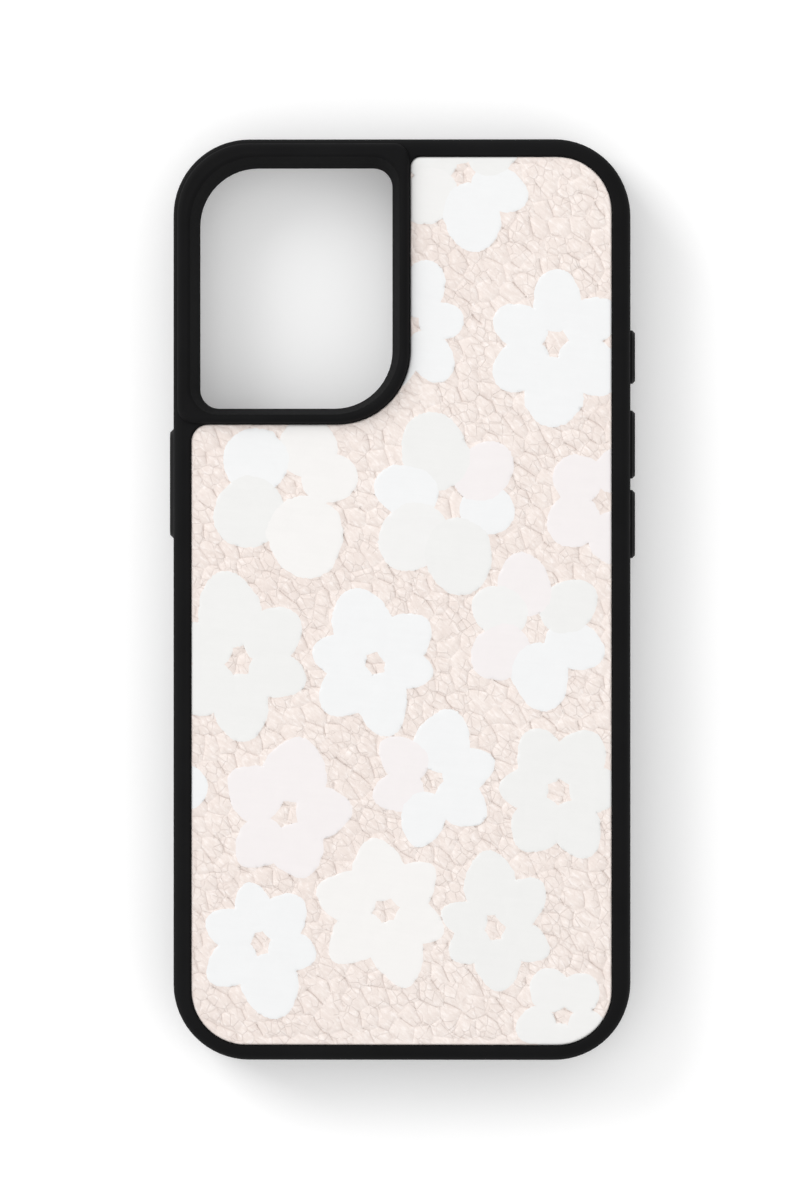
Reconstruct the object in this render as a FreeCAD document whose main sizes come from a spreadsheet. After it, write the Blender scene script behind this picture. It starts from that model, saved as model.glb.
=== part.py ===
"""A phone case: a soft bumper frame, a rigid back plate, a leather inlay and four button caps.

Lengths are in millimetres. The case lies with its screen side down: the origin is the middle of the
plane of the front rim, +Y runs towards the camera end and +Z comes out of the leather back, so +X is
to the right as seen from the back.
"""

import FreeCAD, Part
import Sketcher
import operator
import os
from types import SimpleNamespace

# The driving dimensions. Each one becomes a named cell of the spreadsheet.
DIMENSIONS = [
    # The phone that the case is made for, and the walls round it
    ("phone_width", 71.6, "across the phone"),
    ("phone_length", 147.6, "along the phone"),
    ("phone_thickness", 7.8, "without its camera bump"),
    ("side_clearance", 0.15, "between the phone and each side wall"),
    ("back_clearance", 0.1, "between the phone and the lining"),
    ("wall", 1.45, "side wall of the bumper"),
    ("corner_radius", 12.4, "outer corner, seen from the back"),
    ("back_round", 1.6, "rounding of the outer edge at the back"),
    ("front_round", 1.3, "rounding of the outer edge at the screen side"),
    # The lip that holds the phone in, at the screen side
    ("lip_height", 1.0, "how far the front rim stands above the screen"),
    ("lip_reach", 1.3, "how far the lip reaches in from the side wall"),
    ("lip_round", 0.3, "rounding of the lip's inner edge"),
    # The layers of the back, from the phone outwards
    ("lining_thickness", 0.4, "microfibre lining"),
    ("film_thickness", 0.1, "each adhesive film"),
    ("plate_thickness", 1.2, "rigid back plate"),
    ("leather_thickness", 1.0, "leather inlay"),
    ("rim_rise", 0.3, "how far the rim stands above the leather"),
    # How the layers step in from the side walls
    ("plate_inset", 0.3, "plate edge inside the side wall's inner face"),
    ("ledge_inset", 0.9, "inner edge of the ledge under the plate"),
    ("seat_gap", 0.05, "round the plate in its seat"),
    ("fabric_gap", 0.1, "round the leather and the lining"),
    ("film_inset", 0.5, "film edge inside the edge of what it holds"),
    ("plate_corner", 1.5, "corners beside the camera notch, plate and lining"),
    # The window in the rim that shows the leather
    ("rim_side", 2.75, "rim width at the two sides"),
    ("rim_top", 2.7, "rim width at the camera end"),
    ("rim_bottom", 2.25, "rim width at the charging end"),
    ("rim_corner", 9.2, "corners of the leather window"),
    ("rim_inner_round", 0.25, "rounding of the rim's edge along the leather"),
    ("leather_round", 0.3, "rounding of the leather's top edge"),
    ("notch_side", 1.25, "camera notch in the leather: its right edge"),
    ("notch_low", 28.9, "camera notch in the leather: its lower edge"),
    ("notch_corner", 11.8, "rounded inner corner of the notch"),
    ("notch_top_corner", 1.9, "corner of the leather at the notch's upper end"),
    ("notch_left_corner", 3.0, "corner of the leather at the notch's left end"),
    ("notch_overlap", 1.2, "how far the camera bars cover the plate"),
    # The camera opening and the raised guard round it
    ("window_left", -33.05, "camera opening at the phone's back"),
    ("window_right", -1.55, ""),
    ("window_low", 31.3, ""),
    ("window_high", 70.65, ""),
    ("window_big_corner", 9.5, "its upper left and lower right corners"),
    ("window_small_corner", 3.1, "its other two corners"),
    ("flare_left", 1.7, "how far its wall slopes back up to the guard's top"),
    ("flare_right", 1.4, ""),
    ("flare_low", 1.15, ""),
    ("flare_high", 2.0, ""),
    ("guard_rise", 1.0, "guard above the rim"),
    ("guard_inset", 0.7, "guard inside the outer edge of the case"),
    ("guard_corner", 2.6, "guard corners beside the notch's ends"),
    ("guard_round", 0.9, "rounding of the guard's outer edge"),
    ("guard_inner_round", 0.7, "rounding of the guard's inner edge"),
    # The buttons: the centre and length of each along Y
    ("side_button_place", 19.05, ""),
    ("side_button_length", 18.2, ""),
    ("side_button_bevel", 0.65, "bevel round the side button's face"),
    ("action_button_place", 39.8, ""),
    ("action_button_length", 8.8, ""),
    ("volume_up_button_place", 25.45, ""),
    ("volume_down_button_place", 12.4, ""),
    ("volume_button_length", 11.2, ""),
    ("button_bevel", 0.45, "bevel round the other buttons' faces"),
    ("button_height", 3.6, "each cap, across the wall"),
    ("button_proud", 0.78, "how far a cap stands out of the wall"),
    ("button_gap", 0.12, "round a cap in its slot"),
    ("button_travel", 0.4, "how far a cap can be pressed"),
    ("flange_width", 0.45, "flange that keeps a cap from falling out"),
    ("flange_thickness", 0.28, ""),
    ("flange_gap", 0.15, "round a flange in its recess"),
    ("stop_gap", 0.04, "between a flange and the face that stops it"),
    ("press_gap", 0.05, "from a fully pressed flange to the cavity"),
    # The openings in the side walls
    ("port_length", 13.6, "charging port opening"),
    ("port_height", 6.4, ""),
    ("speaker_length", 10.6, "microphone and speaker openings"),
    ("speaker_height", 3.0, ""),
    ("speaker_place", 14.6, "their centres from the middle"),
    ("control_length", 22.0, "opening over the camera control"),
    ("control_height", 5.2, ""),
    ("control_place", -21.0, ""),
    ("opening_bevel", 0.5, "bevel round each opening's outer edge"),
]
SHEET = "Dimensions"
SIGNS = {"+": operator.add, "-": operator.sub, "*": operator.mul, "/": operator.truediv}
TOLERANCE = 1e-4


class Size:
    """A length that knows both its number and its expression on the spreadsheet's cells."""

    def __init__(self, number, text):
        self.number = number
        self.text = text

    def __add__(self, other):
        return combined(self, "+", other)

    def __sub__(self, other):
        return combined(self, "-", other)

    def __mul__(self, other):
        return combined(self, "*", other)

    def __rmul__(self, other):
        return combined(other, "*", self)

    def __truediv__(self, other):
        return combined(self, "/", other)

    def __neg__(self):
        return combined(-1, "*", self)


def as_size(number):
    return number if isinstance(number, Size) else Size(number, str(number))


def combined(left, sign, right):
    left, right = as_size(left), as_size(right)
    return Size(SIGNS[sign](left.number, right.number), f"({left.text} {sign} {right.text})")


def make_sheet(document):
    """Fills the spreadsheet, and gives the driving dimensions by name."""
    sheet = document.addObject("Spreadsheet::Sheet", SHEET)
    for row, (alias, number, note) in enumerate(DIMENSIONS, start=1):
        sheet.set(f"A{row}", alias)
        sheet.set(f"B{row}", str(number))
        sheet.set(f"C{row}", note)
        sheet.setAlias(f"B{row}", alias)
    document.recompute()
    return SimpleNamespace(**{alias: Size(n, f"{SHEET}.{alias}") for alias, n, note in DIMENSIONS})


document = FreeCAD.newDocument("phone_case")
dim = make_sheet(document)

# Across and along the case
cavity_half_width = dim.phone_width / 2 + dim.side_clearance
cavity_half_length = dim.phone_length / 2 + dim.side_clearance
cavity_corner = dim.corner_radius - dim.wall
outer_half_width = cavity_half_width + dim.wall
outer_half_length = cavity_half_length + dim.wall

# Heights, from the front rim up
ceiling = dim.lip_height + dim.phone_thickness + dim.back_clearance
lining_top = ceiling + dim.lining_thickness
plate_bottom = lining_top + dim.film_thickness
plate_top = plate_bottom + dim.plate_thickness
leather_bottom = plate_top + dim.film_thickness
leather_top = leather_bottom + dim.leather_thickness
back_height = leather_top + dim.rim_rise
guard_top = back_height + dim.guard_rise
button_middle = dim.lip_height + dim.phone_thickness / 2

# Buttons, outwards from the middle of the case
flange_inner = cavity_half_width + dim.button_travel + dim.press_gap
recess_depth = dim.button_travel + dim.press_gap + dim.flange_thickness + dim.stop_gap
cap_outer = outer_half_width + dim.button_proud

# Each button: its name, its side (+1 right, -1 left), centre, length and bevel
BUTTONS = [
    ("side_button", -1, dim.side_button_place, dim.side_button_length, dim.side_button_bevel),
    ("action_button", 1, dim.action_button_place, dim.action_button_length, dim.button_bevel),
    ("volume_up_button", 1, dim.volume_up_button_place, dim.volume_button_length, dim.button_bevel),
    ("volume_down_button", 1, dim.volume_down_button_place, dim.volume_button_length, dim.button_bevel),
]


# Sketches


def new_body(label):
    body = document.addObject("PartDesign::Body", label)
    body.Label = label
    return body


def new_sketch(body, name, plane, offset):
    """An empty sketch on one of the body's origin planes, moved along that plane's normal."""
    sketch = body.newObject("Sketcher::SketchObject", name)
    planes = [feature for feature in body.Origin.OriginFeatures if feature.Role == plane]
    sketch.AttachmentSupport = [(planes[0], "")]
    sketch.MapMode = "FlatFace"
    sketch.setExpression("AttachmentOffset.Base.z", as_size(offset).text)
    return sketch


def constrain(sketch, name, size, *parts):
    """Adds a constraint whose value is bound to the spreadsheet."""
    index = sketch.addConstraint(Sketcher.Constraint(*parts, size.number))
    sketch.renameConstraint(index, name)
    sketch.setExpression(f"Constraints.{name}", size.text)


def draw_outline(sketch, corners):
    """Draws a closed outline of level and upright lines, anticlockwise, with each corner rounded.

    corners holds the (x, y, radius) of each corner.
    """
    count = len(corners)
    points = [FreeCAD.Vector(x.number, y.number, 0) for x, y, radius in corners]
    starts, ends, arcs, turns_left = [], [], [], []
    for i, point in enumerate(points):
        radius = corners[i][2].number
        into = (point - points[i - 1]).normalize()
        out = (points[(i + 1) % count] - point).normalize()
        centre = point - into * radius + out * radius
        middle = centre + (point - centre).normalize() * radius
        starts.append(point - into * radius)
        ends.append(point + out * radius)
        turns_left.append(into.cross(out).z > 0)
        first, last = (starts[i], ends[i]) if turns_left[i] else (ends[i], starts[i])
        arcs.append(Part.Arc(first, middle, last))
    for i in range(count):
        sketch.addGeometry(Part.LineSegment(ends[i], starts[(i + 1) % count]))
    for arc in arcs:
        sketch.addGeometry(arc)
    for i in range(count):
        arc, line_in, line_out = count + i, (i - 1) % count, i
        arc_start, arc_end = (1, 2) if turns_left[i] else (2, 1)
        sketch.addConstraint(Sketcher.Constraint("Tangent", line_in, 2, arc, arc_start))
        sketch.addConstraint(Sketcher.Constraint("Tangent", arc, arc_end, line_out, 1))
        constrain(sketch, f"corner_{i}", corners[i][2], "Radius", arc)
        along = points[(i + 1) % count] - points[i]
        if abs(along.x) > abs(along.y):
            sketch.addConstraint(Sketcher.Constraint("Horizontal", line_out))
            constrain(sketch, f"level_{i}", corners[i][1], "DistanceY", -1, 1, line_out, 1)
        else:
            sketch.addConstraint(Sketcher.Constraint("Vertical", line_out))
            constrain(sketch, f"upright_{i}", corners[i][0], "DistanceX", -1, 1, line_out, 1)


def draw_pill(sketch, middle_x, middle_y, length, height):
    """Draws a slot with two round ends, its long way along the sketch's first axis."""
    centre = FreeCAD.Vector(as_size(middle_x).number, middle_y.number, 0)
    radius = height / 2
    reach = length / 2 - radius
    up = FreeCAD.Vector(0, radius.number, 0)
    right_middle = centre + FreeCAD.Vector(reach.number, 0, 0)
    left_middle = centre - FreeCAD.Vector(reach.number, 0, 0)
    right_tip = centre + FreeCAD.Vector(length.number / 2, 0, 0)
    left_tip = centre - FreeCAD.Vector(length.number / 2, 0, 0)
    low = sketch.addGeometry(Part.LineSegment(left_middle - up, right_middle - up))
    right = sketch.addGeometry(Part.Arc(right_middle - up, right_tip, right_middle + up))
    high = sketch.addGeometry(Part.LineSegment(right_middle + up, left_middle + up))
    left = sketch.addGeometry(Part.Arc(left_middle + up, left_tip, left_middle - up))
    for before, after in ((low, right), (right, high), (high, left), (left, low)):
        sketch.addConstraint(Sketcher.Constraint("Tangent", before, 2, after, 1))
    sketch.addConstraint(Sketcher.Constraint("Horizontal", low))
    constrain(sketch, "end_radius", radius, "Radius", right)
    constrain(sketch, "right_end", middle_x + reach, "DistanceX", -1, 1, right, 3)
    constrain(sketch, "left_end", middle_x - reach, "DistanceX", -1, 1, left, 3)
    constrain(sketch, "middle", middle_y, "DistanceY", -1, 1, right, 3)


# Features


def grow(body, kind, name, sketch, length, backwards=False):
    """Pads or pockets a sketch, and raises an error if the volume didn't change as it should."""
    before = body.Shape.Volume if body.Tip else 0.0
    feature = body.newObject(f"PartDesign::{kind}", name)
    feature.Profile = sketch
    feature.setExpression("Length", length.text)
    feature.Reversed = backwards
    document.recompute()
    gained = body.Shape.Volume - before
    if (gained > 0) != (kind == "Pad") or abs(gained) < TOLERANCE:
        raise RuntimeError(f"{name} changed the volume by {gained:.4f}")


def dress(body, kind, name, size, is_wanted):
    """Fillets or chamfers the edges that is_wanted picks."""
    base = body.Tip
    edges = [f"Edge{i}" for i, edge in enumerate(base.Shape.Edges, start=1) if is_wanted(edge)]
    if not edges:
        raise RuntimeError(f"{name} found no edges")
    feature = body.newObject(f"PartDesign::{kind}", name)
    feature.Base = (base, edges)
    feature.setExpression("Radius" if kind == "Fillet" else "Size", size.text)
    document.recompute()
    if not feature.isValid():
        raise RuntimeError(f"{name} failed")


def flat_sketch(body, name, height, corners):
    sketch = new_sketch(body, f"{name}_outline", "XY_Plane", height)
    draw_outline(sketch, corners)
    return sketch


def pad_up(body, name, floor, thickness, corners):
    grow(body, "Pad", name, flat_sketch(body, name, floor, corners), thickness)


def pocket_up(body, name, floor, depth, corners):
    grow(body, "Pocket", name, flat_sketch(body, name, floor, corners), depth, backwards=True)


def side_sketch(body, name, side, distance, middle, length, height):
    """A slot at the buttons' height, on an upright plane a distance to one side."""
    sketch = new_sketch(body, f"{name}_outline", "YZ_Plane", side * distance)
    draw_pill(sketch, middle, button_middle, length, height)
    return sketch


def pocket_out(body, name, side, distance, middle, length, height, depth):
    sketch = side_sketch(body, name, side, distance, middle, length, height)
    grow(body, "Pocket", name, sketch, depth, backwards=side > 0)


def pad_out(body, name, side, distance, middle, length, height, depth):
    sketch = side_sketch(body, name, side, distance, middle, length, height)
    grow(body, "Pad", name, sketch, depth, backwards=side < 0)


def lies_at(edge, height, reach=None):
    """Whether an edge lies at one height and, if a reach is given, no farther than it along X."""
    box = edge.BoundBox
    level = max(abs(box.ZMin - height.number), abs(box.ZMax - height.number)) < TOLERANCE
    return level and (reach is None or max(-box.XMin, box.XMax) < reach.number + TOLERANCE)


# Outlines, as the corners for draw_outline


def rounded_box(half_width, half_length, radius):
    """A rectangle about the origin."""
    signs = ((1, -1), (1, 1), (-1, 1), (-1, -1))
    return [(x * half_width, y * half_length, radius) for x, y in signs]


def layer_outline(inset, reach):
    """A layer of the back: the cavity less an inset, but reaching under the camera bars."""
    right = cavity_half_width - inset
    high = cavity_half_length - inset
    corner = cavity_corner - inset
    notch_x = dim.notch_side - reach
    notch_y = dim.notch_low + reach
    return [
        (right, -high, corner),
        (right, high, corner),
        (notch_x, high, dim.plate_corner),
        (notch_x, notch_y, dim.notch_corner - reach),
        (-right, notch_y, dim.plate_corner),
        (-right, -high, corner),
    ]


def leather_outline(gap):
    """The leather window in the rim, or what fits in it with a gap all round."""
    gap = as_size(gap)
    right = outer_half_width - dim.rim_side - gap
    high = outer_half_length - dim.rim_top - gap
    low = dim.rim_bottom + gap - outer_half_length
    corner = dim.rim_corner - gap
    notch_x = dim.notch_side + gap
    notch_y = dim.notch_low - gap
    return [
        (right, low, corner),
        (right, high, corner),
        (notch_x, high, dim.notch_top_corner - gap),
        (notch_x, notch_y, dim.notch_corner + gap),
        (-right, notch_y, dim.notch_left_corner - gap),
        (-right, low, corner),
    ]


def guard_outline():
    """The raised guard: the camera notch of the leather window, out to the case's outer edge."""
    left = dim.guard_inset - outer_half_width
    high = outer_half_length - dim.guard_inset
    return [
        (dim.notch_side, dim.notch_low, dim.notch_corner),
        (dim.notch_side, high, dim.guard_corner),
        (left, high, dim.corner_radius - dim.guard_inset),
        (left, dim.notch_low, dim.guard_corner),
    ]


def camera_outline(share):
    """The camera opening: share 0 is at the phone's back, and 1 is at the guard's top."""
    spread = share * (dim.flare_left + dim.flare_right) / 2
    big = dim.window_big_corner + spread
    small = dim.window_small_corner + spread
    left = dim.window_left - share * dim.flare_left
    right = dim.window_right + share * dim.flare_right
    low = dim.window_low - share * dim.flare_low
    high = dim.window_high + share * dim.flare_high
    return [(right, low, big), (right, high, small), (left, high, big), (left, low, small)]


# The bumper frame


def add_shell(frame):
    """The outer block, its rounded edges, the leather window and the camera guard."""
    block = rounded_box(outer_half_width, outer_half_length, dim.corner_radius)
    pad_up(frame, "frame_block", 0, back_height, block)
    dress(frame, "Fillet", "front_edge", dim.front_round, lambda edge: lies_at(edge, as_size(0)))
    dress(frame, "Fillet", "back_edge", dim.back_round, lambda edge: lies_at(edge, back_height))

    pocket_up(frame, "leather_window", plate_top, back_height - plate_top, leather_outline(0))
    window = outer_half_width - dim.rim_side
    dress(
        frame, "Fillet", "rim_edge", dim.rim_inner_round, lambda edge: lies_at(edge, back_height, window)
    )

    guard_base = back_height - dim.back_round
    pad_up(frame, "camera_guard", guard_base, guard_top - guard_base, guard_outline())
    dress(frame, "Fillet", "guard_edge", dim.guard_round, lambda edge: lies_at(edge, guard_top))


def hollow_out(frame):
    """The phone's cavity, the screen opening and the seats of the lining and the plate."""
    cavity = rounded_box(cavity_half_width, cavity_half_length, cavity_corner)
    pocket_up(frame, "phone_cavity", dim.lip_height, ceiling - dim.lip_height, cavity)
    mouth_width = cavity_half_width - dim.lip_reach
    mouth_length = cavity_half_length - dim.lip_reach
    mouth = rounded_box(mouth_width, mouth_length, cavity_corner - dim.lip_reach)
    pocket_up(frame, "screen_opening", 0, dim.lip_height, mouth)
    dress(
        frame, "Fillet", "lip_edge", dim.lip_round, lambda edge: lies_at(edge, as_size(0), mouth_width)
    )

    pocket_up(frame, "lining_recess", ceiling, plate_bottom - ceiling, ledge_outline(0))
    seat = layer_outline(dim.plate_inset - dim.seat_gap, dim.notch_overlap + dim.seat_gap)
    pocket_up(frame, "plate_seat", plate_bottom, dim.plate_thickness, seat)


def ledge_outline(gap):
    """The ledge that the plate rests on, or what fits inside it with a gap all round."""
    inset = dim.ledge_inset + gap
    return layer_outline(inset, dim.notch_overlap + dim.plate_inset - inset)


def cut_camera_opening(frame):
    """The camera opening, whose wall slopes back from the phone to the guard's top."""
    before = frame.Shape.Volume
    low = flat_sketch(frame, "camera_opening_low", ceiling, camera_outline(0))
    high = flat_sketch(frame, "camera_opening_high", guard_top, camera_outline(1))
    opening = frame.newObject("PartDesign::SubtractiveLoft", "camera_opening")
    opening.Profile = low
    opening.Sections = [high]
    opening.Ruled = True
    document.recompute()
    if frame.Shape.Volume > before - TOLERANCE:
        raise RuntimeError("the camera opening cut nothing")
    left = dim.window_left - dim.flare_left
    right = dim.window_right + dim.flare_right

    def is_opening_edge(edge):
        box = edge.BoundBox
        is_inside = box.XMin > left.number - TOLERANCE and box.XMax < right.number + TOLERANCE
        return is_inside and lies_at(edge, guard_top)

    dress(frame, "Fillet", "guard_inner_edge", dim.guard_inner_round, is_opening_edge)


def cut_button_holes(frame):
    """A slot through the wall for each cap, with a wider recess inside it for the flange."""
    around = 2 * (dim.flange_width + dim.flange_gap)
    gaps = 2 * dim.button_gap
    for name, side, place, length, bevel in BUTTONS:
        pocket_out(
            frame, f"{name}_slot", side, cavity_half_width - dim.wall, place,
            length + gaps, dim.button_height + gaps, 3 * dim.wall,
        )
        pocket_out(
            frame, f"{name}_recess", side, cavity_half_width, place,
            length + around, dim.button_height + around, recess_depth,
        )


def cut_wall_openings(frame):
    """The charging port, the microphone and speaker openings, and the camera control's opening."""
    openings = [
        ("charging_port", as_size(0), dim.port_length, dim.port_height),
        ("microphone_opening", -dim.speaker_place, dim.speaker_length, dim.speaker_height),
        ("speaker_opening", dim.speaker_place, dim.speaker_length, dim.speaker_height),
    ]
    inside = cavity_half_length - dim.wall
    for name, middle, length, height in openings:
        sketch = new_sketch(frame, f"{name}_outline", "XZ_Plane", inside)
        draw_pill(sketch, middle, button_middle, length, height)
        grow(frame, "Pocket", name, sketch, 3 * dim.wall, backwards=True)
    pocket_out(
        frame, "control_opening", -1, cavity_half_width - dim.wall, dim.control_place,
        dim.control_length, dim.control_height, 3 * dim.wall,
    )
    dress(frame, "Chamfer", "opening_bevels", dim.opening_bevel, is_opening_rim)


def is_opening_rim(edge):
    """Whether an edge is an opening's outer rim, other than a button slot's."""
    box = edge.BoundBox
    end, left = outer_half_length.number, outer_half_width.number
    is_in_wall = box.ZMin > dim.front_round.number and box.ZMax < (back_height - dim.back_round).number
    is_at_end = max(abs(box.YMin + end), abs(box.YMax + end)) < TOLERANCE
    is_at_left = max(abs(box.XMin + left), abs(box.XMax + left)) < TOLERANCE
    control_end = dim.control_place + dim.control_length / 2
    is_at_control = box.YMax < control_end.number + TOLERANCE
    return is_in_wall and (is_at_end or (is_at_left and is_at_control))


def make_bumper_frame():
    frame = new_body("bumper_frame")
    add_shell(frame)
    hollow_out(frame)
    cut_camera_opening(frame)
    cut_button_holes(frame)
    cut_wall_openings(frame)


# The layers of the back, and the buttons


def make_layer(label, floor, thickness, corners):
    layer = new_body(label)
    pad_up(layer, f"{label}_sheet", floor, thickness, corners)
    return layer


def make_back():
    """The layers of the back, from the phone outwards."""
    film_gap = dim.fabric_gap + dim.film_inset
    plate = layer_outline(dim.plate_inset, dim.notch_overlap)
    make_layer("inner_lining", ceiling, dim.lining_thickness, ledge_outline(dim.fabric_gap))
    make_layer("lining_adhesive", lining_top, dim.film_thickness, ledge_outline(film_gap))
    make_layer("back_plate", plate_bottom, dim.plate_thickness, plate)
    make_layer("leather_adhesive", plate_top, dim.film_thickness, leather_outline(film_gap))
    panel = make_layer(
        "leather_panel", leather_bottom, dim.leather_thickness, leather_outline(dim.fabric_gap)
    )
    dress(
        panel, "Fillet", "leather_panel_edge", dim.leather_round, lambda edge: lies_at(edge, leather_top)
    )


def make_button(name, side, place, length, bevel):
    """A cap that slides in its slot, with a flange inside the wall that keeps it from falling out."""
    button = new_body(name)
    around = 2 * dim.flange_width
    pad_out(
        button, f"{name}_flange", side, flange_inner, place,
        length + around, dim.button_height + around, dim.flange_thickness,
    )
    pad_out(
        button, f"{name}_cap", side, flange_inner, place,
        length, dim.button_height, cap_outer - flange_inner,
    )

    def is_face_edge(edge):
        box = edge.BoundBox
        return min(abs(box.XMin), abs(box.XMax)) > cap_outer.number - TOLERANCE

    dress(button, "Chamfer", f"{name}_bevel", bevel, is_face_edge)


def export_bodies():
    """Writes each body's solid to parts/, once nothing in the document has failed."""
    document.recompute()
    failed = [item.Name for item in document.Objects if {"Invalid", "Error"} & set(item.State)]
    if failed:
        raise RuntimeError(f"these objects failed: {failed}")
    bodies = [item for item in document.Objects if item.TypeId == "PartDesign::Body"]
    for body in bodies:
        if body.Shape.isNull() or not body.Shape.isValid():
            raise RuntimeError(f"{body.Label} has no valid shape")
    os.makedirs("parts", exist_ok=True)
    for body in bodies:
        body.Shape.exportStep(f"parts/{body.Label}.step")
        print(f"{body.Label}: {len(body.Shape.Solids)} solid, {body.Shape.Volume:.1f} mm3")


make_bumper_frame()
make_back()
for button in BUTTONS:
    make_button(*button)
export_bodies()
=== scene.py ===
"""Looks for the phone case: pebbled leather with a floral print, elastomer, plastic and microfibre.

Lengths are in metres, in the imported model's frame. Sizes written in millimetres are times MM.
"""

import math

import bmesh
import bpy
import numpy as np
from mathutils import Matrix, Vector
from mathutils.geometry import delaunay_2d_cdt
from mathutils.kdtree import KDTree


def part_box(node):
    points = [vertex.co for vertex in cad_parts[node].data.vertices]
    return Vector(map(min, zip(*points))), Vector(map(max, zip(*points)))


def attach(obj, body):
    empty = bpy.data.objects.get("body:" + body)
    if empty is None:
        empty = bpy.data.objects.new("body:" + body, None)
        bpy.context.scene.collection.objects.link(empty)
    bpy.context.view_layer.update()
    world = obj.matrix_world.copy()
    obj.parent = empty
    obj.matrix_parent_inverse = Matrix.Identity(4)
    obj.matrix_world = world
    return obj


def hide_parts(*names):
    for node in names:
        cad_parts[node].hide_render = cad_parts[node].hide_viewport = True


MM = 0.001
SEED = 11

# The camera leans towards the volume buttons. Its aim is in millimetres from the case's middle and
# below its highest point, and the view height is how much of the case's plane the picture shows.
CAMERA_TILT = math.radians(1.5)
CAMERA_AIM = (0.1, -0.07, 1)
VIEW_HEIGHT = 196.45 * MM
LENS = 400.0
SENSOR = 36.0

# Half the floor's side, how far it lies under the case, and its and the room's light
FLOOR_HALF = 3.0
FLOOR_DROP = 0.0001
FLOOR_GLOW = 0.16
ROOM_LIGHT = 0.84

# The pebbles: their spacing in millimetres, how far each strays as a share of it, how much longer
# they are than wide, and the direction they and the creases run in
PEBBLE = 3.1
PEBBLE_STRAY = 0.26
PEBBLE_STRETCH = 1.25
FLOW = math.radians(-48)

# The creases' bends, in millimetres: how far they go and how long they are
BEND = 0.34
BEND_SIZE = 6.0

# How strong a crease across the flow is and how much more one along it is, the share of creases
# that are faint, and how strong those are
CROSS_STRENGTH = 0.28
FLOW_STRENGTH = 0.72
FAINT_SHARE = 0.12
FAINT_STRENGTH = 0.3

# The relief, in millimetres: how deep the creases are and how fast their walls rise, how high the
# pebbles' domes are and how far in they slope, and how wide the line of painted shade in a crease
# is
CREASE_DEPTH = 0.24
CREASE_FALL = 0.15
DOME_DEPTH = 0.17
DOME_SLOPE = 1.15
PAINTED_CREASE_LINE = 0.13

# The share of the relief that shows through the print and along its edges, and the ink's thickness
INKED_RELIEF = 0.10
INK_EDGE_RELIEF = 0.3
INK_LIFT = 0.02

# The spacing of the sheet's points, in millimetres: along a crease, from a crease to the rows
# beside it, in the grid between, along the leather's outline and along a petal's
CREASE_STEP = 0.28
CREASE_SHOULDER = 0.14
GRID = 0.40
OUTLINE_STEP = 0.3
PETAL_STEP = 0.42

# How far a grid point strays, as a share of the grid's spacing. Grid points keep this far from the
# leather's edge rows in millimetres, from creases in shoulder widths, and from a petal's edge in
# grid steps. A row beside a crease keeps this many shoulder widths from other creases.
GRID_STRAY = 0.12
EDGE_CLEARANCE = 0.15
CREASE_CLEARANCE = 1.9
PETAL_CLEARANCE = 0.35
SHOULDER_CLEARANCE = 0.85

# Under the print, farther than this many grid steps from a petal's edge, one grid point in so many
# is kept
FINE_STEPS = 2
SPARSE = 3

# Points nearer than this, in millimetres, are one point to the triangulation
SNAP = 1e-5

# The leather's edge, in millimetres: the gap to the frame, the radius it rolls over by, how far in
# the relief fades, the rows of points along it, and the spacing that distances to it are taken at
EDGE_GAP = 0.13
EDGE_ROLL = 0.34
EDGE_FADE = 0.5
EDGE_ROWS = (0.05, 0.14, 0.28, 0.46)
EDGE_SAMPLE = 0.1

# The leather's colours: the first is a painted highlight on the wrinkles' raised sides, the next
# two are the leather's own uneven tone, the fourth is painted shade in the wrinkles' low sides and
# the hairline cracks, and the last is painted shade in the creases
LEATHER_PAINTED_HIGHLIGHT = (0.97, 0.91, 0.88)
LEATHER_HIGH = (0.890, 0.810, 0.765)
LEATHER_LOW = (0.842, 0.748, 0.700)
LEATHER_PAINTED_SHADE = (0.78, 0.68, 0.63)
LEATHER_PAINTED_CREASE_SHADE = (0.63, 0.53, 0.485)
INKS = {
    "W": ("ink_white", (0.862, 0.866, 0.868)),
    "G": ("ink_grey", (0.838, 0.835, 0.822)),
    "B": ("ink_blush", (0.872, 0.832, 0.830)),
    "C": ("ink_cream", (0.878, 0.862, 0.846)),
    "I": ("ink_ivory", (0.852, 0.846, 0.834)),
}

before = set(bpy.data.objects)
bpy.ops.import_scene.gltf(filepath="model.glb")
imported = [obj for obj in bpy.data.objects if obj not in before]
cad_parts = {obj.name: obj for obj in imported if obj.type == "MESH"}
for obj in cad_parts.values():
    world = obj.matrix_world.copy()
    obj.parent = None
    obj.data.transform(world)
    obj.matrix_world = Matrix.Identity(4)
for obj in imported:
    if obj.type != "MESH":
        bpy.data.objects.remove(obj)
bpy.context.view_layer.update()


# Materials


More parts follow.
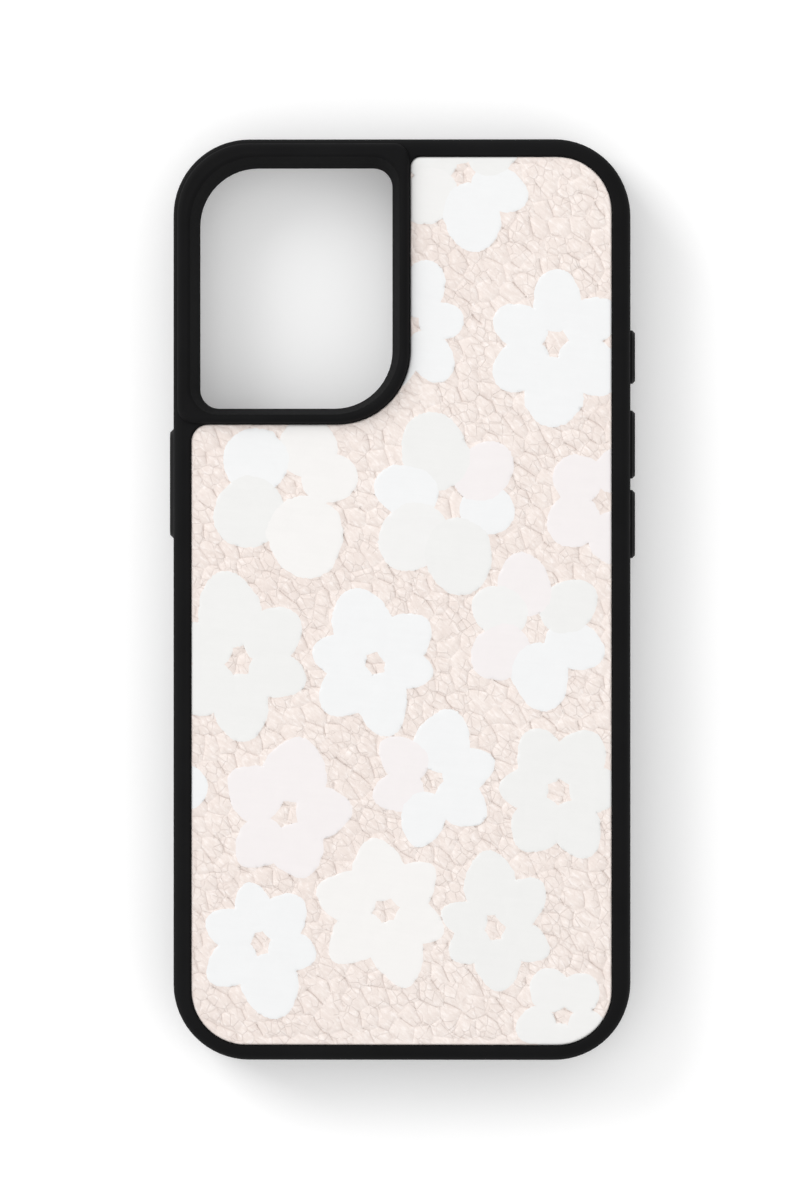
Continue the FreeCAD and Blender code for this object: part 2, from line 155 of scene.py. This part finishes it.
class Surface:
    """A Principled material, with short calls for the texture nodes that feed it."""

    def __init__(self, name, **sockets):
        self.material = bpy.data.materials.new(name)
        self.material.use_nodes = True
        self.nodes = self.material.node_tree.nodes
        self.links = self.material.node_tree.links
        self.shader = self.nodes["Principled BSDF"]
        self.place = self.nodes.new("ShaderNodeTexCoord").outputs["Object"]
        for socket, value in sockets.items():
            self.shader.inputs[socket.replace("_", " ")].default_value = value

    def node(self, kind, inputs, **settings):
        """Adds a node. A value that is itself a socket is linked, and any other is set."""
        node = self.nodes.new(f"ShaderNode{kind}")
        for name, value in settings.items():
            setattr(node, name, value)
        for name, value in inputs.items():
            if isinstance(value, bpy.types.NodeSocket):
                self.links.new(value, node.inputs[name])
            else:
                node.inputs[name].default_value = value
        return node

    def stretched(self, turn, stretch):
        """The place, turned about Z and then squeezed, so that a texture has long features."""
        rotation = (0, 0, math.radians(turn))
        turned = self.node("Mapping", {"Vector": self.place, "Rotation": rotation})
        return self.node("Mapping", {"Vector": turned.outputs[0], "Scale": stretch}).outputs[0]

    def noise(self, size, detail=3.0, roughness=0.55, place=None):
        """Cloudy noise from 0 to 1, whose largest features are about that size in millimetres."""
        inputs = {
            "Vector": place or self.place,
            "Scale": 1 / (size * MM),
            "Detail": detail,
            "Roughness": roughness,
        }
        return self.node("TexNoise", inputs).outputs["Fac"]

    def cells(self, size, feature="F1", place=None):
        """Distance in a cell pattern with cells of about that size in millimetres."""
        inputs = {"Vector": place or self.place, "Scale": 1 / (size * MM)}
        return self.node("TexVoronoi", inputs, feature=feature).outputs["Distance"]

    def ramp(self, value, *stops):
        """Maps a value through stops of (position, grey or colour)."""
        node = self.node("ValToRGB", {"Fac": value})
        band = node.color_ramp
        while len(band.elements) < len(stops):
            band.elements.new(0.5)
        for element, (position, colour) in zip(band.elements, stops):
            element.position = position
            rgb = colour if isinstance(colour, tuple) else (colour,) * 3
            element.color = (*rgb, 1)
        return node.outputs["Color"]

    def math(self, operation, first, second):
        inputs = {0: first, 1: second}
        return self.node("Math", inputs, operation=operation).outputs[0]

    def mix(self, share, first, second, blend="MIX"):
        """Mixes two colours by a share."""
        node = self.nodes.new("ShaderNodeMix")
        node.data_type = "RGBA"
        node.blend_type = blend
        for index, value in ((0, share), (6, first), (7, second)):
            if isinstance(value, bpy.types.NodeSocket):
                self.links.new(value, node.inputs[index])
            elif isinstance(value, tuple):
                node.inputs[index].default_value = (*value, 1)
            else:
                node.inputs[index].default_value = value
        return node.outputs[2]

    def attribute(self, name):
        return self.node("Attribute", {}, attribute_name=name).outputs["Fac"]

    def bump(self, *layers):
        """Stacks bumps of (height, depth in millimetres) on the shader's normal.

        A negative depth makes dents of them.
        """
        normal = None
        for height, depth in layers:
            inputs = {"Height": height, "Distance": depth * MM, "Strength": 1.0}
            if normal is not None:
                inputs["Normal"] = normal
            normal = self.node("Bump", inputs).outputs["Normal"]
        self.feed("Normal", normal)

    def feed(self, socket, value):
        self.links.new(value, self.shader.inputs[socket])


def elastomer():
    """Satin black moulded elastomer: a fine spark-eroded texture, with faint cloudy wear."""
    s = Surface("bumper_elastomer", Specular_IOR_Level=0.08, IOR=1.5)
    wear = s.noise(9.0, 5.0, 0.6)
    speckle = s.noise(0.16, 2.0, 0.7)
    base = s.ramp(wear, (0.3, (0.0052, 0.0052, 0.0055)), (0.75, (0.0082, 0.0082, 0.0086)))
    spots = s.ramp(speckle, (0.55, 0.0), (0.8, 0.35))
    s.feed("Base Color", s.mix(spots, base, (0.010, 0.010, 0.0107)))
    s.feed("Roughness", s.ramp(s.mix(0.5, wear, speckle), (0.3, 0.68), (0.7, 0.84)))
    s.bump((speckle, 0.012), (s.cells(0.22), 0.006), (s.noise(1.8), 0.010))
    return s.material


def plate_plastic():
    """Matt black polycarbonate with a fine grain."""
    s = Surface("plate_polycarbonate", Specular_IOR_Level=0.4, IOR=1.58)
    grain = s.noise(0.12, 2.0, 0.6)
    base = s.ramp(s.noise(6.0), (0.3, (0.010, 0.010, 0.011)), (0.7, (0.017, 0.017, 0.018)))
    s.feed("Base Color", base)
    s.feed("Roughness", s.ramp(grain, (0.35, 0.42), (0.65, 0.55)))
    s.bump((grain, 0.008), (s.cells(0.3), 0.006))
    return s.material


def button_plastic():
    """Satin black caps, a little smoother than the frame, with faint lengthwise polish marks."""
    s = Surface("button_plastic", Specular_IOR_Level=0.12, IOR=1.53)
    marks = s.noise(0.5, 3.0, 0.6, s.stretched(0, (1.0, 0.08, 1.0)))
    grain = s.noise(0.14, 2.0, 0.6)
    base = s.ramp(marks, (0.3, (0.0045, 0.0045, 0.0048)), (0.7, (0.008, 0.008, 0.0084)))
    s.feed("Base Color", base)
    s.feed("Roughness", s.ramp(marks, (0.3, 0.44), (0.7, 0.56)))
    s.bump((grain, 0.006), (marks, 0.004))
    return s.material


def adhesive():
    """Pale translucent film with small trapped bubbles."""
    s = Surface("adhesive_film", Roughness=0.35, Alpha=0.75, IOR=1.46)
    bubbles = s.ramp(s.cells(1.6), (0.08, 1.0), (0.14, 0.0))
    haze = s.ramp(s.noise(5.0), (0.3, (0.62, 0.60, 0.55)), (0.7, (0.74, 0.73, 0.69)))
    s.feed("Base Color", s.mix(bubbles, haze, (0.85, 0.85, 0.84)))
    s.bump((bubbles, 0.02), (s.noise(0.8), 0.01))
    return s.material


def microfibre():
    """Short charcoal nap that lies in soft patches, darker where it is brushed down."""
    s = Surface("microfibre", Roughness=0.95, Specular_IOR_Level=0.15)
    s.shader.inputs["Sheen Weight"].default_value = 0.35
    s.shader.inputs["Sheen Roughness"].default_value = 0.45
    s.shader.inputs["Sheen Tint"].default_value = (0.6, 0.6, 0.62, 1)
    patches = s.noise(14.0, 4.0, 0.55)
    fibres = s.noise(0.28, 3.0, 0.75, s.stretched(35, (1.0, 0.3, 1.0)))
    nap = s.ramp(patches, (0.35, (0.018, 0.018, 0.020)), (0.65, (0.034, 0.034, 0.037)))
    s.feed("Base Color", s.mix(s.ramp(fibres, (0.4, 0.0), (0.75, 0.7)), nap, (0.060, 0.060, 0.064)))
    s.bump((fibres, 0.05), (s.noise(0.9), 0.03))
    return s.material


def leather():
    """Blush leather with pores, fine wrinkles and hairline cracks, painted shade in the creases,
    the wrinkles' low sides and the cracks, and painted highlights on the wrinkles' raised sides.
    """
    s = Surface("pebbled_leather", Specular_IOR_Level=0.22, IOR=1.45)
    painted_crease_shade = s.attribute("painted_crease_shade")
    clouds = s.mix(0.5, s.noise(22.0, 3.0), s.noise(2.6, 2.0))
    wrinkles = s.noise(0.55, 4.0, 0.65, s.stretched(42, (0.45, 1.0, 1.0)))
    pores = s.ramp(s.cells(0.42), (0.10, 0.0), (0.32, 1.0))
    flakes = s.cells(1.35, "DISTANCE_TO_EDGE", s.stretched(48, (0.75, 1.0, 1.0)))
    cracks = s.ramp(flakes, (0.0, 1.0), (0.08, 0.0))
    fine = s.math("MULTIPLY", cracks, s.ramp(s.noise(3.2, 2.0), (0.38, 0.0), (0.54, 1.0)))
    top = s.ramp(clouds, (0.35, LEATHER_LOW), (0.65, LEATHER_HIGH))
    # Painted shade on the wrinkles' low sides, then a painted highlight on their raised sides
    tone_with_painted_relief = s.mix(s.ramp(wrinkles, (0.35, 0.55), (0.55, 0.0)), top, LEATHER_PAINTED_SHADE)
    tone_with_painted_relief = s.mix(s.ramp(wrinkles, (0.54, 0.0), (0.70, 0.8)), tone_with_painted_relief, LEATHER_PAINTED_HIGHLIGHT)
    # Painted shade in the hairline cracks, which are also dented by the bump
    tone_with_painted_relief = s.mix(s.math("MULTIPLY", fine, 0.7), tone_with_painted_relief, LEATHER_PAINTED_SHADE)
    # Painted shade in the creases, from the sheet's crease attribute
    s.feed("Base Color", s.mix(s.ramp(painted_crease_shade, (0.15, 0.0), (1.0, 0.85)), tone_with_painted_relief, LEATHER_PAINTED_CREASE_SHADE))
    s.feed("Roughness", s.ramp(s.mix(0.4, painted_crease_shade, wrinkles), (0.2, 0.5), (0.8, 0.72)))
    s.bump((wrinkles, 0.055), (fine, -0.055), (pores, 0.008), (s.noise(0.15, 2.0), 0.006))
    return s.material


def ink(name, colour):
    """Opaque print on the leather, almost flat, with faint brush streaks."""
    s = Surface(name, Specular_IOR_Level=0.18, IOR=1.48)
    streaks = s.noise(0.9, 4.0, 0.6, s.stretched(8, (0.12, 1.0, 1.0)))
    patches = s.noise(3.5, 3.0)
    dull = tuple(0.975 * c for c in colour)
    s.feed("Base Color", s.ramp(s.mix(0.5, streaks, patches), (0.3, dull), (0.7, colour)))
    s.feed("Roughness", s.ramp(patches, (0.3, 0.52), (0.7, 0.64)))
    s.bump((streaks, 0.012), (s.noise(0.3, 2.0), 0.006))
    return s.material


def lit_white(name, low, high):
    """A matte white panel with a faint light of its own, as a light table has."""
    s = Surface(name, Roughness=0.8, Specular_IOR_Level=0.2, Emission_Strength=FLOOR_GLOW)
    s.shader.inputs["Emission Color"].default_value = (1, 1, 1, 1)
    s.feed("Base Color", s.ramp(s.noise(60.0), (0.3, (low,) * 3), (0.7, (high,) * 3)))
    s.bump((s.noise(1.2), 0.02))
    return s.material


# The floral print: each flower's centre and how far it reaches right, up, left and down, all in
# millimetres, then its number of petals, the direction of the first one in degrees, how pointed
# they are from 0 to 1, and the ink of each petal in turn
FLOWERS = [
    (10.1, 70.0, 11.2, 11.0, 10.5, 13.4, 6, -20, 0.2, "WGGGIW"),
    (1.4, 45.0, 8.6, 11.8, 8.6, 12.0, 6, 5, 0.0, "W"),
    (25.0, 42.2, 11.8, 11.6, 10.9, 14.2, 6, 30, 0.1, "W"),
    (-18.0, 19.2, 11.2, 10.6, 12.8, 17.2, 5, 0, 0.2, "CCWGC"),
    (7.8, 15.9, 10.8, 15.4, 12.2, 16.0, 6, -15, 0.1, "WBGWIG"),
    (33.5, 16.3, 9.0, 9.0, 10.0, 11.6, 5, -4, 0.2, "B"),
    (21.7, -5.0, 12.0, 13.2, 10.8, 13.8, 6, -25, 0.3, "WGBIBW"),
    (-26.8, -10.0, 11.4, 15.4, 10.0, 13.8, 6, 35, 0.5, "G"),
    (-4.3, -10.6, 10.0, 13.7, 10.8, 11.8, 6, 45, 0.6, "W"),
    (-40.0, -31.2, 8.4, 6.0, 6.0, 6.0, 5, 0, 0, "W"),
    (-19.0, -35.3, 10.8, 12.8, 10.4, 10.9, 5, 5, 1.0, "B"),
    (5.0, -29.9, 10.2, 12.6, 10.2, 10.6, 6, 20, 0.7, "WWBBWW"),
    (25.6, -31.3, 10.8, 11.6, 9.4, 12.9, 6, -5, 0.5, "G"),
    (-23.3, -56.1, 9.3, 10.0, 9.4, 13.0, 6, -20, 0.6, "W"),
    (-2.4, -50.7, 9.8, 12.0, 12.3, 13.0, 6, 42, 1.0, "C"),
    (15.3, -53.8, 9.8, 12.8, 8.6, 10.3, 6, 40, 0.8, "G"),
    (26.4, -68.2, 7.8, 8.8, 8.2, 9.0, 5, 50, 0.3, "I"),
]


def unit(angle):
    return np.array([math.cos(angle), math.sin(angle)])


def petal_outline(centre, direction, reach, petals, point, rng):
    """A petal that grows out of the ring round a flower's centre, as points in millimetres.

    Its tip is round where point is 0, and narrow where it is 1.
    """
    start = reach * rng.uniform(0.12, 0.18)
    half_length = (reach - start) / 2
    plump = 0.82 if petals == 6 else 0.94  # the more petals, the slimmer
    half_width = half_length * rng.uniform(0.90, 1.10) * plump
    count = int(2 * math.pi * half_length / PETAL_STEP)
    turn = np.linspace(0, 2 * math.pi, count, endpoint=False)
    wobble = 1 + sum(
        rng.uniform(0.02, 0.05) / math.sqrt(order) * np.cos(order * turn + rng.uniform(0, 6.28))
        for order in (2, 3, 5, 8, 13)
    )
    rough = 1 + 0.010 * rng.standard_normal(count)
    taper = 1 - 0.30 * point * np.cos(turn)
    along = (reach + start) / 2 + half_length * np.cos(turn) * rough
    across = half_width * np.sin(turn) * taper * wobble * rough
    axis, side = unit(direction), unit(direction + math.pi / 2)
    return np.array(centre) + along[:, None] * axis + across[:, None] * side


def floral_print():
    """Every petal as (outline in millimetres, ink). Later petals lie over earlier ones."""
    rng = np.random.default_rng(SEED)
    petals = []
    for x, y, right, up, left, down, count, turn, point, tints in FLOWERS:
        for k in range(count):
            direction = math.radians(turn + 360 * k / count + rng.uniform(-7, 7))
            across, along = unit(direction)
            sideways = right if across > 0 else left
            lengthwise = up if along > 0 else down
            reach = across**2 * sideways + along**2 * lengthwise
            reach *= rng.uniform(0.95, 1.04)
            outline = petal_outline((x, y), direction, reach, count, point, rng)
            petals.append((outline, tints[k % len(tints)]))
    return petals


# The leather sheet


def bottom_loop(node):
    """The outline of a CAD node's underside, anticlockwise, as points in millimetres."""
    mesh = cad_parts[node].data
    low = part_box(node)[0].z + 0.001 * MM
    used = {}
    for triangle in mesh.polygons:
        corners = [mesh.vertices[i].co for i in triangle.vertices]
        if max(c.z for c in corners) > low:
            continue
        keys = [(round(c.x / MM, 3), round(c.y / MM, 3)) for c in corners]
        used.update(dict.fromkeys(zip(keys, keys[1:] + keys[:1])))
    following = {a: b for (a, b) in used if (b, a) not in used}
    start = next(iter(following))
    loop = [start]
    while following[loop[-1]] != start:
        loop.append(following[loop[-1]])
    loop = np.array(loop)
    area = np.sum(loop[:, 0] * np.roll(loop[:, 1], -1) - loop[:, 1] * np.roll(loop[:, 0], -1))
    return loop if area > 0 else loop[::-1]


def divided(loop, spacing):
    """A closed loop with points added so that none are farther apart than the spacing."""
    points = []
    for a, b in zip(loop, np.roll(loop, -1, axis=0)):
        steps = max(1, math.ceil(np.linalg.norm(b - a) / spacing))
        points.extend(a + (b - a) * i / steps for i in range(steps))
    return np.array(points)


def shifted_in(loop, distance):
    """An anticlockwise loop moved inwards."""
    along = np.roll(loop, -1, axis=0) - np.roll(loop, 1, axis=0)
    along /= np.linalg.norm(along, axis=1)[:, None]
    return loop + distance * np.column_stack([-along[:, 1], along[:, 0]])


def is_inside(points, loop):
    """Whether each point is inside a closed loop."""
    inside = np.zeros(len(points), bool)
    x, y = points[:, 0], points[:, 1]
    for (x0, y0), (x1, y1) in zip(loop, np.roll(loop, -1, axis=0)):
        if y0 == y1:
            continue
        crosses = (y0 > y) != (y1 > y)
        inside ^= crosses & (x < (x1 - x0) * (y - y0) / (y1 - y0) + x0)
    return inside


def nearest_distance(points, samples):
    """The distance from each point to the nearest sample."""
    tree = KDTree(len(samples))
    for i, (x, y) in enumerate(samples):
        tree.insert((x, y, 0), i)
    tree.balance()
    return np.array([tree.find((x, y, 0))[2] for x, y in points])


def staggered_grid(low, high, spacing, rng, jitter):
    """Points in a triangular grid over a rectangle, each moved a little."""
    x, y = np.meshgrid(
        np.arange(low[0], high[0], spacing), np.arange(low[1], high[1], spacing * math.sqrt(0.75))
    )
    x[::2] += spacing / 2
    points = np.column_stack([x.ravel(), y.ravel()])
    return points + rng.uniform(-jitter, jitter, points.shape) * spacing


def smooth(value):
    value = np.clip(value, 0, 1)
    return value * value * (3 - 2 * value)


def waves(points, size, rng, count=6):
    """Smooth random values about zero, with features of that size."""
    value = np.zeros(len(points))
    for _ in range(count):
        direction = unit(rng.uniform(0, 2 * math.pi)) * 2 * math.pi / (size * rng.uniform(0.7, 1.5))
        value += np.sin(points @ direction + rng.uniform(0, 2 * math.pi))
    return value / math.sqrt(count)


def borders(seeds):
    """The borders between the cells nearest to each seed, as pairs of end points."""
    seeds = [Vector(p) for p in seeds]
    places, _, triangles, _, _, _ = delaunay_2d_cdt(seeds, [], [], 0, SNAP, False)
    corners = np.array([[places[i] for i in triangle] for triangle in triangles])
    a, b, c = corners[:, 0], corners[:, 1] - corners[:, 0], corners[:, 2] - corners[:, 0]
    twice = 2 * (b[:, 0] * c[:, 1] - b[:, 1] * c[:, 0])
    bb, cc = np.sum(b * b, axis=1), np.sum(c * c, axis=1)
    middle = a + np.column_stack(
        [(c[:, 1] * bb - b[:, 1] * cc) / twice, (b[:, 0] * cc - c[:, 0] * bb) / twice]
    )
    beside = {}
    for i, triangle in enumerate(triangles):
        for j in range(3):
            key = frozenset((triangle[j], triangle[j - 1]))
            beside.setdefault(key, []).append(i)
    return [middle[pair] for pair in beside.values() if len(pair) == 2]


def crease_network(low, high):
    """The creases between the pebbles, as (points in millimetres, strength from 0 to 1).

    They run mostly down to the right, and are deeper in that direction.
    """
    rng = np.random.default_rng(SEED + 2)
    far = 1.2 * np.abs(np.concatenate([low, high])).max()  # covers the sheet once it is turned
    seeds = staggered_grid((-far, -far), (far, far), PEBBLE, rng, PEBBLE_STRAY)
    flow, cross = unit(FLOW), unit(FLOW + math.pi / 2)
    lines = []
    for start, end in borders(seeds):
        steps = math.ceil(np.linalg.norm(end - start) / CREASE_STEP)
        if not 0 < steps < 4 * PEBBLE / CREASE_STEP:
            continue  # an empty border, or one that runs out at the pattern's rim
        share = np.linspace(0, 1, steps + 1)[:, None]
        place = start + (end - start) * share
        lines.append(place[:, :1] * flow * PEBBLE_STRETCH + place[:, 1:] * cross)
    joined = np.vstack(lines)
    bends = [waves(joined, BEND_SIZE, np.random.default_rng(SEED + 3 + i)) for i in range(2)]
    bent = joined + BEND * np.column_stack(bends)
    creases, first = [], 0
    for line in lines:
        points = bent[first : first + len(line)]
        first += len(line)
        if np.all(points > low - 1) and np.all(points < high + 1):
            along = points[-1] - points[0]
            aligned = abs(along @ flow) / (np.linalg.norm(along) + 1e-6)
            strength = CROSS_STRENGTH + FLOW_STRENGTH * aligned**2
            strength *= rng.uniform(0.5, 1.0)
            strength *= FAINT_STRENGTH if rng.random() < FAINT_SHARE else 1
            creases.append((points, strength))
    return creases


class Grain:
    """The leather's relief, from its network of creases."""

    SAMPLES = 6  # for each step along a crease

    def __init__(self, creases):
        self.strengths = []
        samples = []
        for points, strength in creases:
            fine = self.SAMPLES * (len(points) - 1) + 1
            at = np.linspace(0, len(points) - 1, fine)
            for x, y in zip(*(np.interp(at, np.arange(len(points)), points[:, i]) for i in (0, 1))):
                samples.append((x, y, 0))
                self.strengths.append(strength)
        self.tree = KDTree(len(samples))
        for i, sample in enumerate(samples):
            self.tree.insert(sample, i)
        self.tree.balance()
        self.strengths = np.array(self.strengths)

    def nearest(self, points):
        """Each point's distance to the nearest crease, and that crease's strength."""
        found = [self.tree.find((x, y, 0)) for x, y in points]
        return np.array([f[2] for f in found]), self.strengths[[f[1] for f in found]]

    def relief(self, points):
        """The relief in millimetres, at most 0, and how much painted shade a crease puts on each
        point, 0 to 1.
        """
        distance, strength = self.nearest(points)
        groove = strength * np.exp(-distance / CREASE_FALL)
        dome = (0.35 + 0.65 * strength) * (1 - smooth(distance / DOME_SLOPE))
        # The painted shade: a dark line along each crease's floor, in the colour only
        line = strength * np.exp(-((distance / PAINTED_CREASE_LINE) ** 2))
        return -CREASE_DEPTH * groove - DOME_DEPTH * dome, line


def is_printed(points, petals):
    """Whether each point is under a petal."""
    printed = np.zeros(len(points), bool)
    for petal, _ in petals:
        box = np.all((points > petal.min(0)) & (points < petal.max(0)), axis=1)
        printed[box] |= is_inside(points[box], petal)
    return printed


def sheet_points(outline, petals, creases, grain):
    """Points that fill the sheet.

    There are rows along the outline, a row on each crease and one on each side of it, and a grid
    that is coarser under the print. Points too near others of these are left out.
    """
    rng = np.random.default_rng(SEED + 1)
    edge_rows = [shifted_in(outline, d) for d in EDGE_ROWS]
    inner = shifted_in(outline, EDGE_ROWS[-1] + EDGE_CLEARANCE)
    rows = [line for line, _ in creases]
    along = np.vstack([np.gradient(line, axis=0) for line in rows])
    rows = np.vstack(rows)
    wanted = is_inside(rows, inner) & ~is_printed(rows, petals)
    rows, along = rows[wanted], along[wanted]
    side = np.column_stack([-along[:, 1], along[:, 0]])
    side *= CREASE_SHOULDER / (np.linalg.norm(side, axis=1)[:, None] + 1e-9)
    shoulders = np.vstack([rows + side, rows - side])
    apart = grain.nearest(shoulders)[0] > SHOULDER_CLEARANCE * CREASE_SHOULDER
    shoulders = shoulders[apart]
    grid = staggered_grid(outline.min(0), outline.max(0), GRID, rng, GRID_STRAY)
    grid = grid[is_inside(grid, inner)]
    clear = grain.nearest(grid)[0] > CREASE_CLEARANCE * CREASE_SHOULDER
    grid = grid[clear | is_printed(grid, petals)]
    edges = np.vstack([divided(petal, GRID / 2) for petal, _ in petals])
    to_edge = nearest_distance(grid, edges)
    fine = ~is_printed(grid, petals) | (to_edge < FINE_STEPS * GRID)
    sparse = np.arange(len(grid)) % SPARSE == 0
    keep = (to_edge > PETAL_CLEARANCE * GRID) & (fine | sparse)
    return list(np.vstack(edge_rows + [rows, shoulders, grid[keep]]))


def triangulated(outline, petals, creases, grain):
    """The sheet's flat points, and its triangles as (corners, number of the top petal or 0)."""
    points = sheet_points(outline, petals, creases, grain)
    loops = []
    for loop in [outline] + [petal for petal, _ in petals]:
        loops.append(list(range(len(points), len(points) + len(loop))))
        points.extend(loop)
    points = [Vector(p) for p in points]
    places, _, faces, _, _, sources = delaunay_2d_cdt(points, [], loops, 0, SNAP, True)
    kept = [(face, max(source)) for face, source in zip(faces, sources) if 0 in source]
    used = sorted({i for face, _ in kept for i in face})
    renumbered = {old: new for new, old in enumerate(used)}
    tops = [([renumbered[i] for i in face], source) for face, source in kept]
    return np.array([places[i] for i in used]), tops


def leather_sheet():
    """The leather inlay as one closed sheet, cut along the petals so that the print is sharp."""
    low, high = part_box("leather_panel")
    outline = shifted_in(divided(bottom_loop("leather_panel"), OUTLINE_STEP), EDGE_GAP)
    petals = floral_print()
    creases = crease_network(outline.min(0), outline.max(0))
    grain = Grain(creases)
    flat, tops = triangulated(outline, petals, creases, grain)

    relief, painted_crease_shade = grain.relief(flat)
    bare, inked = np.zeros(len(flat), bool), np.zeros(len(flat), bool)
    for face, source in tops:
        (inked if source else bare)[face] = True
    share = np.where(inked, np.where(bare, INK_EDGE_RELIEF, INKED_RELIEF), 1.0)
    lift = np.where(inked & ~bare, INK_LIFT, 0.0)
    edge = nearest_distance(flat, divided(outline, EDGE_SAMPLE))
    inner = np.clip(EDGE_ROLL - edge, 0, EDGE_ROLL)
    rounding = np.sqrt(EDGE_ROLL**2 - inner**2) - EDGE_ROLL
    grain_height = (relief * share + lift) * smooth(edge / EDGE_FADE)
    height = high.z / MM - INK_LIFT + grain_height + rounding

    bm = bmesh.new()
    for (x, y), z in zip(flat, height):
        bm.verts.new((x * MM, y * MM, z * MM))
    bm.verts.ensure_lookup_table()
    slots = ["leather"] + sorted(INKS)
    for face, source in tops:
        made = bm.faces.new([bm.verts[i] for i in face])
        made.material_index = slots.index(petals[source - 1][1]) if source else 0
        made.smooth = True
    close_below(bm, low.z)
    mesh = bpy.data.meshes.new("leather_sheet")
    bm.to_mesh(mesh)
    bm.free()
    # The sheet carries the creases' painted shade as a point attribute, fainter under the print
    values = np.zeros(len(mesh.vertices), np.float32)
    values[: len(painted_crease_shade)] = painted_crease_shade * share
    mesh.attributes.new("painted_crease_shade", "FLOAT", "POINT").data.foreach_set("value", values)
    sheet = bpy.data.objects.new("leather_sheet", mesh)
    bpy.context.scene.collection.objects.link(sheet)
    mesh.materials.append(leather())
    for letter in sorted(INKS):
        mesh.materials.append(ink(*INKS[letter]))
    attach(sheet, "case")
    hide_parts("leather_panel")


def close_below(bm, floor):
    """Closes an open sheet with a wall round its rim and a flat underside."""
    rim = [edge for edge in bm.edges if edge.is_boundary]
    wall = bmesh.ops.extrude_edge_only(bm, edges=rim)["geom"]
    for item in wall:
        if isinstance(item, bmesh.types.BMVert):
            item.co.z = floor
    foot = [item for item in wall if isinstance(item, bmesh.types.BMEdge)]
    bmesh.ops.contextual_create(bm, geom=foot)
    bmesh.ops.recalc_face_normals(bm, faces=bm.faces)


def finish_nodes():
    """Gives every CAD node that stays in view its material."""
    finishes = {
        "bumper_frame": elastomer(),
        "back_plate": plate_plastic(),
        "leather_adhesive": adhesive(),
        "inner_lining": microfibre(),
        "lining_adhesive": adhesive(),
    }
    caps = button_plastic()
    for name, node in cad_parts.items():
        node.data.materials.clear()
        node.data.materials.append(finishes.get(name, caps))


# Floor, light and camera


def make_floor():
    mesh = bpy.data.meshes.new("floor")
    signs = ((-1, -1), (1, -1), (1, 1), (-1, 1))
    corners = [(x * FLOOR_HALF, y * FLOOR_HALF, 0) for x, y in signs]
    mesh.from_pydata(corners, [], [(0, 1, 2, 3)])
    floor = bpy.data.objects.new("floor", mesh)
    bpy.context.scene.collection.objects.link(floor)
    mesh.materials.append(lit_white("floor_panel", 0.93, 0.95))
    floor.location.z = -FLOOR_DROP


def add_softbox(name, place, size, power):
    """A square area light that faces the case."""
    light = bpy.data.lights.new(name, "AREA")
    light.energy = power
    light.size = size
    lamp = bpy.data.objects.new(name, light)
    lamp.location = place
    lamp.rotation_euler = (-Vector(place)).to_track_quat("-Z", "Y").to_euler()
    bpy.context.scene.collection.objects.link(lamp)


def light_and_view():
    world = bpy.data.worlds.new("studio")
    world.use_nodes = True
    background = world.node_tree.nodes["Background"]
    background.inputs["Color"].default_value = (1, 1, 1, 1)
    background.inputs["Strength"].default_value = ROOM_LIGHT
    scene = bpy.context.scene
    scene.world = world
    scene.view_settings.view_transform = "Standard"
    add_softbox("key_light", (-1.1, 0.9, 0.8), 0.9, 12)
    add_softbox("fill_light", (1.2, -0.6, 1.1), 1.2, 2)
    camera = bpy.data.cameras.new("camera")
    camera.lens = LENS
    camera.sensor_width = SENSOR
    eye = bpy.data.objects.new("camera", camera)
    x, y, down = (value * MM for value in CAMERA_AIM)
    target = Vector((x, y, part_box("bumper_frame")[1].z - down))
    away = Vector((math.sin(CAMERA_TILT), 0, math.cos(CAMERA_TILT)))
    eye.location = target + away * VIEW_HEIGHT * LENS / SENSOR
    eye.rotation_euler = (0, CAMERA_TILT, 0)
    scene.collection.objects.link(eye)
    scene.camera = eye


finish_nodes()
leather_sheet()
make_floor()
light_and_view()
